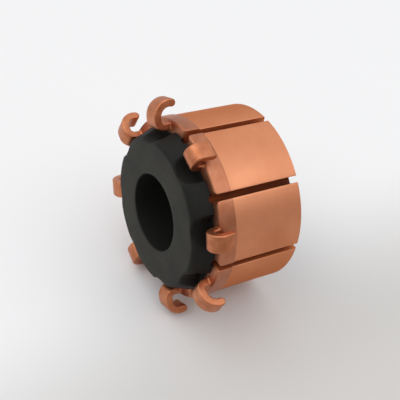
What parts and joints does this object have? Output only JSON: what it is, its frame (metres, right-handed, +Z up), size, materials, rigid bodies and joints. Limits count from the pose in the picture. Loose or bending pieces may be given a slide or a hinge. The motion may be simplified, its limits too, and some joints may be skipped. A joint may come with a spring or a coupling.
{
  "type": "commutator",
  "caption": "Moulded hook-type commutator: copper bars round a black hub with a plain shaft bore, each bar with a wire hook at its front end.",
  "frame": {"origin": "on the bore's axis, at the centre of the hub's front face, which is its hook end", "axes": "+Z up, as the part lies on a table on two hooks and the rim of its brush end; the bore's axis lies in the YZ plane with the hook end towards -Y and raised 9.9 degrees; +X across the part"},
  "size_m": [0.0218, 0.0143, 0.0215],
  "materials": {
    "copper": "turned track, satin hooks",
    "phenolic": "moulded, matte"
  },
  "bodies": {
    "root": {"hub": "phenolic", "segment_1": "copper", "segment_2": "copper", "segment_3": "copper", "segment_4": "copper", "segment_5": "copper", "segment_6": "copper", "segment_7": "copper", "segment_8": "copper"}
  },
  "joints": []
}
